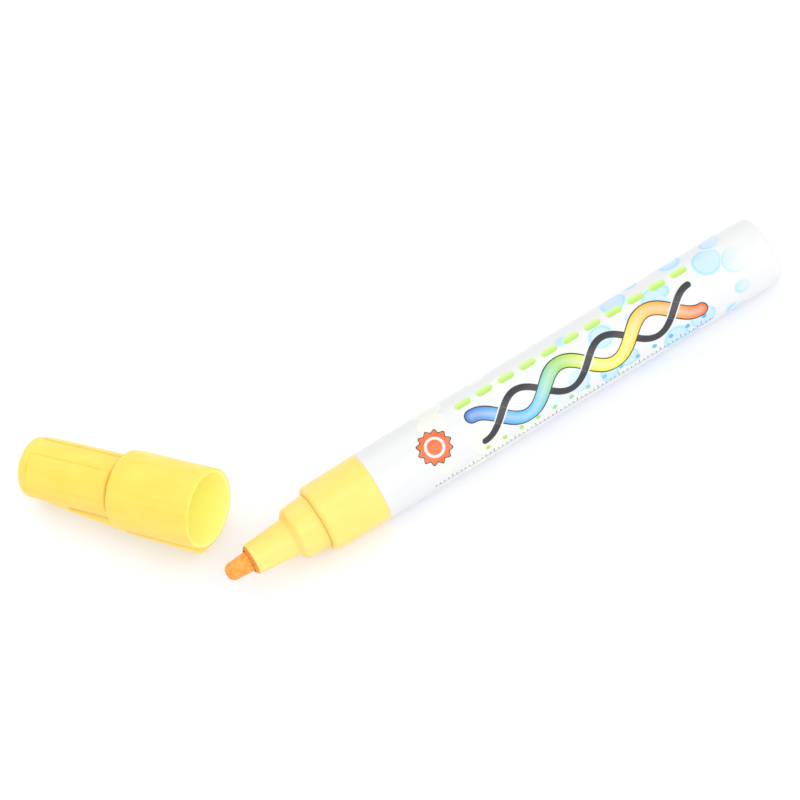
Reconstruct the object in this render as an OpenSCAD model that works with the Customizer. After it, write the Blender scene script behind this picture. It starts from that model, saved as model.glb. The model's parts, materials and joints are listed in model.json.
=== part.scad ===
// Valve-action board marker with its cap taken off and lying beside the nib.
// Stations along the pen run from the nib's tip (0) to the rear end.
// Stations along the cap run from its closed end (0) to its mouth.

/* [Barrel] */
// Outside diameter of the barrel
barrel_d = 15; // [14:0.1:18]
// Length of the barrel from its open end to its flat rear end
barrel_len = 95.3; // [80:0.1:120]
// Thickness of the barrel's tube wall
barrel_wall = 0.6; // [0.4:0.05:1]
// Thickness of the barrel's closed end
barrel_end_wall = 1.2; // [0.8:0.1:2]
// Length of the slight taper before the rear edge
barrel_taper_len = 6; // [3:0.5:12]
// How much the radius drops along that taper
barrel_taper = 0.2; // [0:0.05:0.4]
// Radius of the rear edge
barrel_edge_r = 2.2; // [1:0.1:3]
// Height of the dome on the closed end
barrel_dome = 0.4; // [0.2:0.1:1]

/* [Front section] */
// Length of the large collar
collar_len = 13.2; // [9:0.1:18]
// How much narrower the collar is at its front than at the barrel
collar_draft = 0.4; // [0:0.1:0.8]
// Radius of the collar's front edge
collar_edge_r = 1; // [0.3:0.1:1.1]
// How much wider the neck is at the collar than the nozzle's root
neck_step = 1.9; // [1.4:0.1:2.1]
// Length of the neck with its sloped front
neck_len = 6.45; // [4.5:0.05:9]
// Length of the neck's sloped front
neck_slope = 1.1; // [0.8:0.1:3]
// How much the neck's radius draws in from the collar to its slope
neck_draft = 0.35; // [0.1:0.05:0.6]
// Diameter of the nozzle where it meets the neck
nozzle_base_d = 8.2; // [7.4:0.1:8.4]
// Wall thickness of the nozzle round the recess in its mouth
nozzle_tip_wall = 0.75; // [0.7:0.05:1]
// Length of the nozzle
nozzle_len = 9.6; // [7:0.05:12]
// Width of the bevel round the nozzle's front edge
nozzle_bevel = 0.65; // [0.2:0.05:0.65]
// Gap round the nib in the recess of the nozzle's mouth
recess_gap = 0.4; // [0.3:0.05:0.6]
// Depth of that recess
recess_depth = 1.4; // [0.5:0.1:3]
// Gap round the nib in the ink gallery behind the nozzle
gallery_gap = 1; // [0.6:0.1:1.3]
// Length of the plug that sits inside the barrel
plug_len = 12; // [10:0.1:16]
// Radial clearance of the plug in the barrel
plug_clear = 0.05; // [0.02:0.01:0.1]
// Bevel on the plug's rear edge
plug_bevel = 0.6; // [0.2:0.1:1]

/* [Front seal] */
// Thickness of the seal ring's round section
seal_section = 1.2; // [0.8:0.1:1.6]
// Distance of the seal ring in front of the plug's rear end
seal_inset = 4; // [2:0.1:6]
// Clearance round the seal ring in its groove
seal_clear = 0.02; // [0.01:0.01:0.05]

/* [Nib] */
// Diameter of the nib where it leaves the nozzle
nib_d = 4.4; // [4:0.1:4.8]
// How far the nib's side draws in towards its tip
nib_draft = 0.35; // [0.1:0.05:0.4]
// Radius of the rounded tip
nib_round_r = 1.6; // [0.8:0.05:1.75]
// Length of nib that shows in front of the nozzle
nib_exposed = 5.45; // [4:0.05:7]
// Length of the nib's full-width stretch inside the nozzle
nib_grip_len = 9.1; // [5:0.1:9.5]
// How far the side of the nib's thinner tail steps in
nib_tail_step = 0.5; // [0.3:0.05:0.7]
// Length of the nib's tail
nib_tail_len = 9.45; // [8:0.05:12]
// Radial clearance of the nib in the nozzle
nib_clear = 0.15; // [0.1:0.01:0.25]
// How far the nib moves in when it is pressed
nib_travel = 2.2; // [1:0.1:3]

/* [Valve] */
// Distance from the nib's tail to the shoulder that carries the seat
seat_lead = 1; // [0.5:0.1:2]
// Thickness of the soft valve seat
seat_t = 1.2; // [0.8:0.1:2]
// Gap round the nib's tail in the seat's hole
seat_hole_gap = 0.5; // [0.3:0.05:0.7]
// Wall thickness of the housing
housing_wall = 0.8; // [0.6:0.1:1]
// Length of the housing
housing_len = 12; // [10.5:0.1:14]
// Thickness of the housing's rear wall
housing_end = 1.2; // [0.8:0.1:2]
// Radial clearance of the housing and seat in the front section
housing_clear = 0.05; // [0.02:0.01:0.1]
// Number of ink ports in the housing's rear wall
port_count = 6; // [4:1:8]
// Diameter of each ink port
port_d = 0.9; // [0.6:0.1:1]
// Diameter of the stem's front pin
stem_pin_d = 2.6; // [2:0.1:3]
// How far the sealing head overlaps the seat round its hole
head_lap = 0.8; // [0.5:0.1:1]
// Gap round the sealing head inside the housing
head_room = 0.7; // [0.5:0.1:0.9]
// Thickness of the sealing head
stem_head_t = 1.4; // [1:0.1:2]
// Diameter of the stem's rear guide
stem_guide_d = 2.4; // [1.8:0.1:2.8]
// Length of the guide that stands out of the housing at rest
stem_guide_out = 0.6; // [0.2:0.1:1.2]
// Running clearance of the guide in the housing
stem_clear = 0.1; // [0.05:0.01:0.2]
// Gap between the sealing head and the seat at rest
seat_gap = 0.02; // [0.01:0.01:0.05]
// Length of the retaining ring behind the housing
retainer_len = 1.8; // [1:0.1:3]
// Wall thickness of the retaining ring
retainer_wall = 0.825; // [0.7:0.005:1]

/* [Spring] */
// Diameter of the spring wire
spring_wire_d = 0.5; // [0.3:0.05:0.6]
// Gap between the stem's guide and the coil
spring_gap = 0.75; // [0.4:0.05:0.9]
// Number of turns
spring_turns = 7; // [5:0.5:9]

/* [Mixing ball] */
// Diameter of the mixing ball
ball_d = 6; // [4:0.1:8]
// Distance of the ball behind the plug at rest
ball_lead = 26; // [5:0.5:60]
// Clearance of the ball to the barrel's wall and ends
ball_clear = 0.05; // [0.02:0.01:0.1]

/* [Cap] */
// Radial clearance of the cap's bore round the barrel's front
cap_fit = 0.1; // [0.05:0.01:0.2]
// How far the cap's mouth reaches past the collar when the cap is on
cap_overlap = 0.15; // [0:0.05:2]
// Wall thickness of the skirt at the step
skirt_step_wall = 0.65; // [0.5:0.05:1]
// Wall thickness of the skirt at the mouth
skirt_mouth_wall = 0.85; // [0.6:0.05:1.2]
// Wall thickness of the slim part at the closed end
slim_end_wall = 1.05; // [0.8:0.05:1.4]
// Wall thickness of the slim part at the step
slim_step_wall = 1.3; // [1.1:0.05:1.6]
// Wall thickness of the closed end
cap_end_wall = 1.6; // [1.2:0.1:2.4]
// Wall thickness of the step
cap_step_wall = 0.7; // [0.6:0.1:1.2]
// Empty room between the inner cap and the closed end
end_room = 3.85; // [1:0.05:8]
// Radius of the closed end's edge
cap_edge_r = 1.7; // [0.8:0.1:2]
// Radius of the shoulder at the step
shoulder_r = 1.2; // [0.6:0.1:1.4]
// Radius of the mouth's rim edges
rim_r = 0.25; // [0.1:0.05:0.3]
// Length of the neck's slope that goes into the slim part when the cap is on
neck_nose = 0.3; // [0:0.1:0.5]
// Number of places round the slim part, one of them the clip's
panel_places = 3; // [3:1:4]
// Angle that each raised panel takes up
panel_angle = 78; // [50:1:84]
// Height of the panels
panel_h = 0.25; // [0.1:0.05:0.3]
// Distance of the panels from the closed end
panel_lead = 2.6; // [2:0.1:5]

/* [Inner cap] */
// Radial clearance of the inner cap round the nozzle
liner_fit = 0.05; // [0.02:0.01:0.1]
// Wall thickness of the inner cap
liner_wall = 1.06; // [0.8:0.02:1.3]
// Thickness of the inner cap's closed end
liner_end = 1; // [0.8:0.1:1.5]
// Room in front of the nib's tip inside the inner cap
nib_room = 1.7; // [1:0.1:3]
// Distance between the inner cap's mouth and the neck's slope
liner_lead = 0.8; // [0.3:0.1:2]
// Radial clearance of the inner cap in the cap
liner_clear = 0.04; // [0.02:0.01:0.08]

/* [Clip] */
// Angle round the cap that the clip takes up
clip_angle = 34; // [28:1:40]
// Thickness of the clip
clip_t = 1.3; // [1:0.05:1.4]
// Distance of the clip's root from the closed end
clip_root_at = 3.8; // [3.5:0.1:6]
// Height of the clip's outer face over the slim part at the root
clip_root_h = 1.3; // [1:0.05:1.6]
// Length of the clip's fixed root
clip_root_len = 5.8; // [4:0.1:7]
// Distance behind the step of the line where the clip's outer face levels out
clip_knee_lag = 3.2; // [2.5:0.1:7]
// Gap between the clip's web and the slim part
clip_web_gap = 0.35; // [0.3:0.05:0.6]
// Distance of the web's end in front of the step
clip_web_lead = 1; // [0.8:0.1:3]
// Gap between clip and skirt at the step and at the knee
clip_knee_gap = 0.53; // [0.4:0.01:1]
// Gap between clip and skirt at the clip's tip
clip_tip_gap = 0.87; // [0.8:0.01:1.6]
// Distance of the clip's tip from the cap's mouth
clip_tip_inset = 1.8; // [0:0.1:5]
// Radius of the clip's rounded root
clip_knuckle_r = 0.45; // [0.3:0.05:0.5]
// Gap between the clip and its root on the cap
clip_gap = 0.12; // [0.1:0.01:0.2]
// Height of the grip bead inside the clip's tip
clip_bead_h = 0.4; // [0.2:0.05:0.45]
// Distance of the grip bead from the clip's tip
clip_bead_inset = 2.4; // [1.5:0.1:4]
// Radius of the clip tip's outer edge
clip_edge_r = 0.5; // [0.2:0.1:0.6]

/* [Lay-out] */
// How far the cap's mouth lies behind the nib's tip, along the pen
cap_mouth_dx = 4.4; // [-10:0.1:8]
// How far the cap's mouth lies to the side of the pen's axis
cap_mouth_dy = 13.3; // [13:0.1:40]
// Direction in plan of the cap's mouth, from the pen's axis
cap_yaw = -57.4; // [-80:0.1:-30]
// How far the cap has rolled round its clip
cap_roll = 15; // [0:1:16]

/* [Hidden] */
$fn = 96;
// Thickness by which cutters stand past what they cut
eps = 0.5;
// Sides of the spring wire and rings in each turn
wire_sides = 8;
turn_rings = 20;
// Pitch of the spring's closed end turns, as a share of its wire
closed_pitch = 1.06;

// Stations along the pen
nozzle_at = nib_exposed;
neck_at = nozzle_at + nozzle_len;
collar_at = neck_at + neck_len;
barrel_at = collar_at + collar_len;
plug_end = barrel_at + plug_len;
nib_tail_at = nib_exposed + nib_grip_len;
nib_end = nib_tail_at + nib_tail_len;
seat_at = nib_end + seat_lead;
housing_at = seat_at + seat_t;
housing_rear = housing_at + housing_len;
housing_floor = housing_rear - housing_end;
retainer_end = housing_rear + retainer_len;
// The nib's full width stays in its bore over the whole travel
gallery_at = nib_tail_at + nib_travel;
head_at = housing_at + seat_gap;
head_end = head_at + stem_head_t;
guide_end = housing_rear + stem_guide_out;
seal_at = plug_end - seal_inset;
barrel_flat = barrel_at + barrel_len;
barrel_floor = barrel_flat - barrel_end_wall;
pen_len = barrel_flat + barrel_dome;

// Radii along the pen
barrel_r = barrel_d / 2;
barrel_bore_r = barrel_r - barrel_wall;
barrel_rear_r = barrel_r - barrel_taper;
plug_r = barrel_bore_r - plug_clear;
collar_front_r = barrel_r - collar_draft / 2;
nozzle_base_r = nozzle_base_d / 2;
neck_r = nozzle_base_r + neck_step;
neck_front_r = neck_r - neck_draft;
nib_r = nib_d / 2;
nib_tip_r = nib_r - nib_draft;
nib_tail_r = nib_r - nib_tail_step;
nib_bore_r = nib_r + nib_clear;
recess_r = nib_r + recess_gap;
gallery_r = nib_r + gallery_gap;
nozzle_tip_r = recess_r + nozzle_tip_wall;
seat_hole_r = nib_tail_r + seat_hole_gap;
stem_head_r = seat_hole_r + head_lap;
stem_guide_r = stem_guide_d / 2;
guide_bore_r = stem_guide_r + stem_clear;
housing_bore_r = stem_head_r + head_room;
housing_r = housing_bore_r + housing_wall;
chamber_r = housing_r + housing_clear;
retainer_r = chamber_r - housing_clear / 2;
seal_r = seal_section / 2;
seal_ring_r = barrel_bore_r - seal_clear - seal_r;
groove_floor_r = seal_ring_r - seal_r - seal_clear;
groove_half = seal_r + seal_clear;
wire_r = spring_wire_d / 2;
coil_r = stem_guide_r + spring_gap + wire_r;
port_ring_r = (coil_r + wire_r + housing_bore_r) / 2;
ball_r = ball_d / 2;

// Spring between the stem's head and the housing's rear wall, with one closed turn at each end
spring_len = housing_floor - head_end - 2 * seat_gap;
spring_rise = spring_len - spring_wire_d;
closed_rise = spring_wire_d * closed_pitch;
active_pitch = (spring_rise - 2 * closed_rise) / (spring_turns - 2);

// Radii of the cap, from what goes inside it
liner_bore_r = nozzle_base_r + liner_fit;
liner_r = liner_bore_r + liner_wall;
slim_bore_r = liner_r + liner_clear;
slim_end_r = slim_bore_r + slim_end_wall;
slim_step_r = slim_bore_r + slim_step_wall;
cap_bore_r = barrel_r + cap_fit;
skirt_step_r = cap_bore_r + skirt_step_wall;
skirt_mouth_r = cap_bore_r + skirt_mouth_wall;

// Stations of the cap: with the cap on, the neck's nose goes in at the inner face of the step
liner_back = cap_end_wall + end_room;
liner_floor = liner_back + liner_end;
step_inside = liner_floor + nib_room + nib_exposed + nozzle_len + neck_nose;
slim_len = step_inside - cap_step_wall;
liner_mouth = step_inside - neck_nose - liner_lead;
cap_len = step_inside + neck_len - neck_nose + collar_len + cap_overlap;
panel_step = 360 / panel_places;

// Radius of the slim part at a station, and of the skirt
function slim_r(at) = slim_end_r + (slim_step_r - slim_end_r) * at / slim_len;
function skirt_r(at) =
    skirt_step_r + (skirt_mouth_r - skirt_step_r) * (at - slim_len) / (cap_len - slim_len);

// The clip's outer face: a ramp from its root to its knee, then nearly level to its tip
clip_bend = clip_root_at + clip_root_len;
clip_knee = slim_len + clip_knee_lag;
clip_tip = cap_len - clip_tip_inset;
clip_root_r = slim_r(clip_root_at) + clip_root_h;
clip_knee_r = skirt_r(clip_knee) + clip_knee_gap + clip_t;
clip_tip_r = skirt_r(clip_tip) + clip_tip_gap + clip_t;
clip_bead_at = clip_tip - clip_bead_inset;
clip_web_end = slim_len - clip_web_lead;
clip_heel_r = skirt_step_r + clip_knee_gap;
// Distance of the ramp from the cap's axis at a station
function ramp_r(at) =
    clip_root_r + (clip_knee_r - clip_root_r) * (at - clip_root_at) / (clip_knee - clip_root_at);

// The cap lies on the clip's ramp, which sets its tilt and its height
cap_tilt = atan((clip_knee_r - clip_root_r) / (clip_knee - clip_root_at));
cap_end_z = ramp_r(0) * cos(cap_tilt);
cap_dir = [cos(cap_tilt) * cos(cap_yaw), cos(cap_tilt) * sin(cap_yaw), sin(cap_tilt)];
cap_end_x = cap_mouth_dx - cap_len * cap_dir[0];
cap_end_y = cap_mouth_dy - cap_len * cap_dir[1];
// How far the rounded closed end reaches past its centre, along the pen and across it
end_flat_r = slim_end_r - cap_edge_r;
end_reach_x = end_flat_r * sqrt(1 - cap_dir[0] * cap_dir[0]) + cap_edge_r * (1 - cap_dir[0]);
end_reach_y = end_flat_r * sqrt(1 - cap_dir[1] * cap_dir[1]) + cap_edge_r * (1 + cap_dir[1]);
// Place of the nib's tip when the middle of the whole lay-out is at the origin
tip_x = -(pen_len + cap_end_x - end_reach_x) / 2;
tip_y = -(cap_end_y + end_reach_y - barrel_r) / 2;

// Puts what is drawn along +Z on the pen's axis
module on_pen() {
    translate([tip_x, tip_y, barrel_r])
        rotate([0, 90, 0])
            children();
}

// Puts what is drawn along +Z on the cap's axis, with +X towards the clip
module on_cap() {
    translate([tip_x + cap_end_x, tip_y + cap_end_y, cap_end_z])
        rotate([0, 90 - cap_tilt, cap_yaw])
            rotate([0, 0, -cap_roll])
                children();
}

// Profile of a straight or tapered length between two stations
module run(r1, r2, at1, at2) {
    polygon([[0, at1], [r1, at1], [r2, at2], [0, at2]]);
}

// Profile of a rounded edge, on the outer side of the axis
module edge_round(r, at, edge) {
    intersection() {
        translate([r, at])
            circle(edge);
        translate([0, at - edge])
            square([r + edge, 2 * edge]);
    }
}

// Profile of a length whose front edge is rounded
module round_front_run(r1, r2, at1, at2, edge) {
    polygon([[0, at1], [r1 - edge, at1], [r1, at1 + edge], [r2, at2], [0, at2]]);
    edge_round(r1 - edge, at1 + edge, edge);
}

// Profile of a length whose rear edge is rounded
module round_rear_run(r1, r2, at1, at2, edge) {
    polygon([[0, at1], [r1, at1], [r2, at2 - edge], [r2 - edge, at2], [0, at2]]);
    edge_round(r2 - edge, at2 - edge, edge);
}

// A solid sector turned from a profile, centred on +X
module sector(angle) {
    rotate_extrude(angle = angle, start = -angle / 2)
        children();
}

// White tube that holds the ink
module barrel_outline() {
    dome_r = barrel_rear_r - barrel_edge_r;
    sphere_r = (dome_r * dome_r + barrel_dome * barrel_dome) / (2 * barrel_dome);
    run(barrel_r, barrel_r, barrel_at, barrel_flat - barrel_taper_len);
    round_rear_run(barrel_r, barrel_rear_r, barrel_flat - barrel_taper_len, barrel_flat, barrel_edge_r);
    intersection() {
        translate([0, pen_len - sphere_r])
            circle(sphere_r);
        translate([0, barrel_flat - barrel_end_wall / 2])
            square([dome_r, barrel_end_wall]);
    }
}

module barrel() {
    color("white")
        on_pen()
            rotate_extrude()
                difference() {
                    barrel_outline();
                    run(barrel_bore_r, barrel_bore_r, barrel_at - eps, barrel_floor);
                }
}

// Yellow moulding: nozzle, neck, collar and the plug inside the barrel
module front_outline() {
    polygon([
        [0, nozzle_at], [nozzle_tip_r - nozzle_bevel, nozzle_at], [nozzle_tip_r, nozzle_at + nozzle_bevel],
        [nozzle_base_r, neck_at], [neck_front_r, neck_at + neck_slope], [neck_r, collar_at], [0, collar_at]
    ]);
    round_front_run(collar_front_r, barrel_r, collar_at, barrel_at, collar_edge_r);
    run(plug_r, plug_r, barrel_at, plug_end - plug_bevel);
    run(plug_r, plug_r - plug_bevel, plug_end - plug_bevel, plug_end);
}

module front_section() {
    color("#fdec73")
        on_pen()
            rotate_extrude()
                difference() {
                    front_outline();
                    run(recess_r, recess_r, nozzle_at - eps, nozzle_at + recess_depth);
                    run(nib_bore_r, nib_bore_r, nozzle_at, gallery_at);
                    run(gallery_r, gallery_r, gallery_at, seat_at);
                    run(chamber_r, chamber_r, seat_at, plug_end + eps);
                    translate([groove_floor_r, seal_at - groove_half])
                        square([barrel_r, 2 * groove_half]);
                }
}

// Ring that keeps ink from creeping out between plug and barrel
module front_seal() {
    color("dimgray")
        on_pen()
            rotate_extrude()
                translate([seal_ring_r, seal_at])
                    circle(seal_r);
}

// Fibre nib with a rounded tip and a thinner tail
module nib() {
    color("#fa963c")
        on_pen()
            rotate_extrude() {
                round_front_run(nib_tip_r, nib_r, 0, nib_exposed, nib_round_r);
                run(nib_r, nib_r, nib_exposed, nib_tail_at);
                run(nib_tail_r, nib_tail_r, nib_tail_at, nib_end);
            }
}

// Soft washer that the stem's head closes against
module valve_seat() {
    color("dimgray")
        on_pen()
            rotate_extrude()
                translate([seat_hole_r, seat_at])
                    square([housing_r - seat_hole_r, seat_t]);
}

// Plunger that the nib pushes back to open the valve
module valve_stem() {
    color("whitesmoke")
        on_pen()
            rotate_extrude() {
                run(stem_pin_d / 2, stem_pin_d / 2, nib_end, head_at);
                round_rear_run(stem_head_r, stem_head_r, head_at, head_end, stem_head_t / 4);
                run(stem_guide_r, stem_guide_r, head_end, guide_end);
            }
}

// Height of the spring's wire above its lower end after a number of turns
function wire_height(turn) =
    turn < 1 ? closed_rise * turn
    : turn > spring_turns - 1 ? spring_rise - closed_rise * (spring_turns - turn)
    : closed_rise + active_pitch * (turn - 1);

// One corner of the wire's section
function wire_point(turn, side) =
    let (around = 360 * turn, a = 360 * side / wire_sides)
    let (r = coil_r + wire_r * cos(a))
    [r * cos(around), r * sin(around), wire_height(turn) + wire_r * (1 + sin(a))];

// Spring that shuts the valve and pushes the nib out again
module valve_spring() {
    rings = spring_turns * turn_rings;
    points = [
        for (i = [0:rings], j = [0:wire_sides - 1])
            wire_point(i / turn_rings, j)
    ];
    sides = [
        for (i = [0:rings - 1], j = [0:wire_sides - 1])
            let (a = i * wire_sides + j, b = i * wire_sides + (j + 1) % wire_sides)
            [a, b, b + wire_sides, a + wire_sides]
    ];
    first = [for (j = [wire_sides - 1:-1:0]) j];
    last = [for (j = [0:wire_sides - 1]) rings * wire_sides + j];
    color("silver")
        on_pen()
            translate([0, 0, head_end + seat_gap])
                polyhedron(points, concat(sides, [first, last]));
}

// Cup that carries the spring and guides the stem
module valve_housing() {
    color("whitesmoke")
        on_pen()
            difference() {
                rotate_extrude()
                    difference() {
                        run(housing_r, housing_r, housing_at, housing_rear);
                        run(housing_bore_r, housing_bore_r, housing_at - eps, housing_floor);
                        run(guide_bore_r, guide_bore_r, housing_at, housing_rear + eps);
                    }
                for (i = [0:port_count - 1])
                    rotate([0, 0, 360 * i / port_count])
                        translate([port_ring_r, 0, housing_floor - eps])
                            cylinder(d = port_d, h = housing_end + 2 * eps);
            }
}

// Ring pressed in behind the housing to keep the valve in place
module valve_retainer() {
    color("lightgray")
        on_pen()
            rotate_extrude()
                translate([retainer_r - retainer_wall, housing_rear])
                    square([retainer_wall, retainer_len]);
}

// Steel ball that stirs the ink, lying on the barrel's wall
module mixing_ball() {
    color("silver")
        on_pen()
            translate([barrel_bore_r - ball_clear - ball_r, 0, plug_end + ball_lead])
                sphere(ball_r);
}

// Slim part, skirt and the clip's root
module cap_outline() {
    edge_round(end_flat_r, cap_edge_r, cap_edge_r);
    polygon([
        [0, 0], [end_flat_r, 0], [slim_r(cap_edge_r), cap_edge_r], [slim_step_r, slim_len],
        [slim_step_r, step_inside], [0, step_inside]
    ]);
    round_front_run(skirt_step_r, skirt_mouth_r, slim_len, cap_len - rim_r, shoulder_r);
    run(skirt_mouth_r - rim_r, skirt_mouth_r - rim_r, cap_len - rim_r, cap_len);
    edge_round(skirt_mouth_r - rim_r, cap_len - rim_r, rim_r);
}

module cap_bores() {
    run(slim_bore_r, slim_bore_r, cap_end_wall, step_inside + eps);
    run(cap_bore_r, cap_bore_r, step_inside, cap_len + eps);
    run(cap_bore_r, cap_bore_r + rim_r, cap_len - rim_r, cap_len);
}

// Raised panel on the slim part, running into the step
module panel() {
    root = slim_end_wall / 2;
    step_end = slim_len + cap_step_wall / 2;
    sector(panel_angle)
        polygon([
            [slim_r(panel_lead) - root, panel_lead], [slim_r(panel_lead) + panel_h, panel_lead],
            [slim_step_r + panel_h, slim_len], [slim_step_r + panel_h, step_end],
            [slim_step_r - root, step_end]
        ]);
}

module clip_root() {
    edge = clip_bend - clip_gap / 2;
    root = slim_end_wall / 2;
    difference() {
        sector(clip_angle)
            polygon([
                [slim_r(clip_root_at) - root, clip_root_at], [clip_root_r, clip_root_at],
                [ramp_r(edge), edge], [slim_r(edge) - root, edge]
            ]);
        clip_knuckle(clip_knuckle_r + clip_gap, eps);
    }
}

// Round bar across the clip's root, on the line where the clip bends
module clip_knuckle(r, extra) {
    bar = 2 * (ramp_r(clip_bend) - clip_t) * sin(clip_angle / 2) + 2 * extra;
    translate([ramp_r(clip_bend) - clip_t / 2, 0, clip_bend])
        rotate([90, 0, 0])
            cylinder(r = r, h = bar, center = true);
}

module cap_shell() {
    color("#fdec73")
        on_cap()
            union() {
                rotate_extrude()
                    difference() {
                        cap_outline();
                        cap_bores();
                    }
                for (i = [1:panel_places - 1])
                    rotate([0, 0, panel_step * i])
                        panel();
                clip_root();
            }
}

// Soft cup inside the cap that closes round the nozzle
module inner_cap() {
    color("#fff6c4")
        on_cap()
            rotate_extrude()
                difference() {
                    run(liner_r, liner_r, liner_back, liner_mouth);
                    run(liner_bore_r, liner_bore_r, liner_floor, liner_mouth + eps);
                }
}

// Springy pocket clip with a web behind its ramp, bending at its root
module cap_clip() {
    edge = clip_bend + clip_gap / 2;
    color("#fdec73")
        on_cap()
            union() {
                sector(clip_angle) {
                    polygon([
                        [slim_r(edge) + clip_web_gap, edge], [ramp_r(edge), edge], [clip_knee_r, clip_knee],
                        [clip_tip_r, clip_tip - clip_edge_r], [clip_tip_r - clip_edge_r, clip_tip],
                        [clip_tip_r - clip_t, clip_tip], [clip_knee_r - clip_t, clip_knee],
                        [clip_heel_r, slim_len], [slim_r(clip_web_end) + clip_web_gap, clip_web_end]
                    ]);
                    translate([clip_tip_r - clip_edge_r, clip_tip - clip_edge_r])
                        circle(clip_edge_r);
                    translate([clip_tip_r - clip_t, clip_bead_at])
                        circle(clip_bead_h);
                }
                clip_knuckle(clip_knuckle_r, 0);
            }
}

barrel();
front_section();
front_seal();
nib();
valve_seat();
valve_stem();
valve_spring();
valve_housing();
valve_retainer();
mixing_ball();
cap_shell();
inner_cap();
cap_clip();
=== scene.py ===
"""Looks of a board marker that lies with its cap beside its nib.

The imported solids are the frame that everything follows. The tube, the mouldings, the nib and the spring are
modelled here at the solids' own sizes, with the small rounds, creases and panels of the real pieces. The
sealed pieces of the valve and the mixing ball keep their solids and get a finish. Sizes are in millimetres,
drawn along +Z on a piece's own axis and then laid on the axis of the marker or of its cap.
"""

import json
import logging
import math
from dataclasses import dataclass
from enum import Enum

import bpy
from mathutils import Matrix, Vector


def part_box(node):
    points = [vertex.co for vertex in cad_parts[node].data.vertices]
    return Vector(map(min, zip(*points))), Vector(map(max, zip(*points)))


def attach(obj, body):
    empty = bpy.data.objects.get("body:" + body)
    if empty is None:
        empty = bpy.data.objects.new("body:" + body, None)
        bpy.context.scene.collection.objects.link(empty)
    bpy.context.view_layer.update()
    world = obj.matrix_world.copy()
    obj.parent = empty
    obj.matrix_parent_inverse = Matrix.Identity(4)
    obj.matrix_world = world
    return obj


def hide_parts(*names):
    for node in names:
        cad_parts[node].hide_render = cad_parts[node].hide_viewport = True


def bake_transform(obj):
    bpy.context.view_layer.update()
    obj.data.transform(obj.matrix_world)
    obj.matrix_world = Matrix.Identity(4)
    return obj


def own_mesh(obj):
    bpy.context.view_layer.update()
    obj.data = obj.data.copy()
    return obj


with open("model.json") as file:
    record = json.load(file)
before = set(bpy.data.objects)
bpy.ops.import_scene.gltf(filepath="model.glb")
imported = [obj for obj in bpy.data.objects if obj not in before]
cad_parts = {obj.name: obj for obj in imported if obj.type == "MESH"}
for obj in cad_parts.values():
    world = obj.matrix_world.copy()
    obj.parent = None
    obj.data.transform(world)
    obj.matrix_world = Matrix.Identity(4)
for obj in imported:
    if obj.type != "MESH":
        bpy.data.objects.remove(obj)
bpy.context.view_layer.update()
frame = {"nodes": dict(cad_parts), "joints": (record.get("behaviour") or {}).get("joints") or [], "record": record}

# Metres in a millimetre
MM = 0.001
# Vertices of a drawing that lie closer than this, in millimetres, are merged
WELD = 0.0005
# Faces that meet at less than this angle are shaded as one surface
SMOOTH_ANGLE = math.radians(32)
# Straight steps in the arc of a rounded corner
ARC_STEPS = 8
LOG = logging.getLogger("marker")

Point = tuple[float, float]
Range = tuple[float, float]
Colour = tuple[float, float, float, float]
BLACK: Colour = (0.0, 0.0, 0.0, 1.0)


class Slot(Enum):
    """Material slots of the part's record."""

    WHITE_LACQUER = "white_lacquer"
    YELLOW_PLASTIC = "yellow_plastic"
    SOFT_PLASTIC = "soft_plastic"
    FIBRE = "fibre"
    SPRING_STEEL = "spring_steel"


class Body(Enum):
    """Bodies of the part that a piece can ride on."""

    PEN = "pen_body"
    NIB = "nib_unit"
    CAP = "cap"
    CLIP = "clip"


@dataclass(frozen=True)
class Axis:
    """A line of the part: where its stations start, where it points and which side counts as its front."""

    start: Vector
    along: Vector
    side: Vector

    def turn(self) -> Matrix:
        """Return the rotation from a drawing along +Z, front at +X, to this axis."""
        return Matrix((self.side, self.along.cross(self.side), self.along)).transposed()

    def matrix(self) -> Matrix:
        """Return the matrix that lays a drawing in millimetres on this axis."""
        return Matrix.Translation(self.start) @ self.turn().to_4x4() @ Matrix.Scale(MM, 4)

    def at(self, radius: float, station: float) -> Vector:
        """Return a point on the axis' front side, in metres."""
        return self.start + (self.side * radius + self.along * station) * MM


@dataclass(frozen=True)
class Corner:
    """A corner of an outline, in millimetres, with the radius that rounds it."""

    radius: float
    station: float
    fillet: float = 0.0


def rounded(corners: list[Corner], closed: bool = False, longest: float = math.inf) -> list[Point]:
    """Draw an outline, with each filleted corner as an arc.

    Args:
        corners: The outline's corners in order.
        closed: Whether the last corner joins the first, so that the ends are rounded too.
        longest: The longest straight step in millimetres.

    Returns:
        Points as radius and station.
    """
    places = [Vector((corner.radius, corner.station)) for corner in corners]
    drawn: list[Vector] = []
    for index, (corner, place) in enumerate(zip(corners, places)):
        at_end = not closed and index in (0, len(corners) - 1)
        if corner.fillet == 0.0 or at_end:
            drawn.append(place)
            continue
        back = (places[index - 1] - place).normalized()
        ahead = (places[(index + 1) % len(places)] - place).normalized()
        half = back.angle(ahead) / 2
        centre = place + (back + ahead).normalized() * (corner.fillet / math.sin(half))
        first = place + back * (corner.fillet / math.tan(half)) - centre
        sweep = first.angle_signed(place + ahead * (corner.fillet / math.tan(half)) - centre)
        for step in range(ARC_STEPS + 1):
            turn = -sweep * step / ARC_STEPS
            drawn.append(centre + Matrix.Rotation(turn, 2) @ first)
    points: list[Vector] = [drawn[0]]
    for point in drawn[1:]:
        stretch = point - points[-1]
        pieces = max(1, math.ceil(stretch.length / longest))
        begin = points[-1]
        points.extend(begin + stretch * (piece / pieces) for piece in range(1, pieces + 1))
    return [(point.x, point.y) for point in points]


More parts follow.
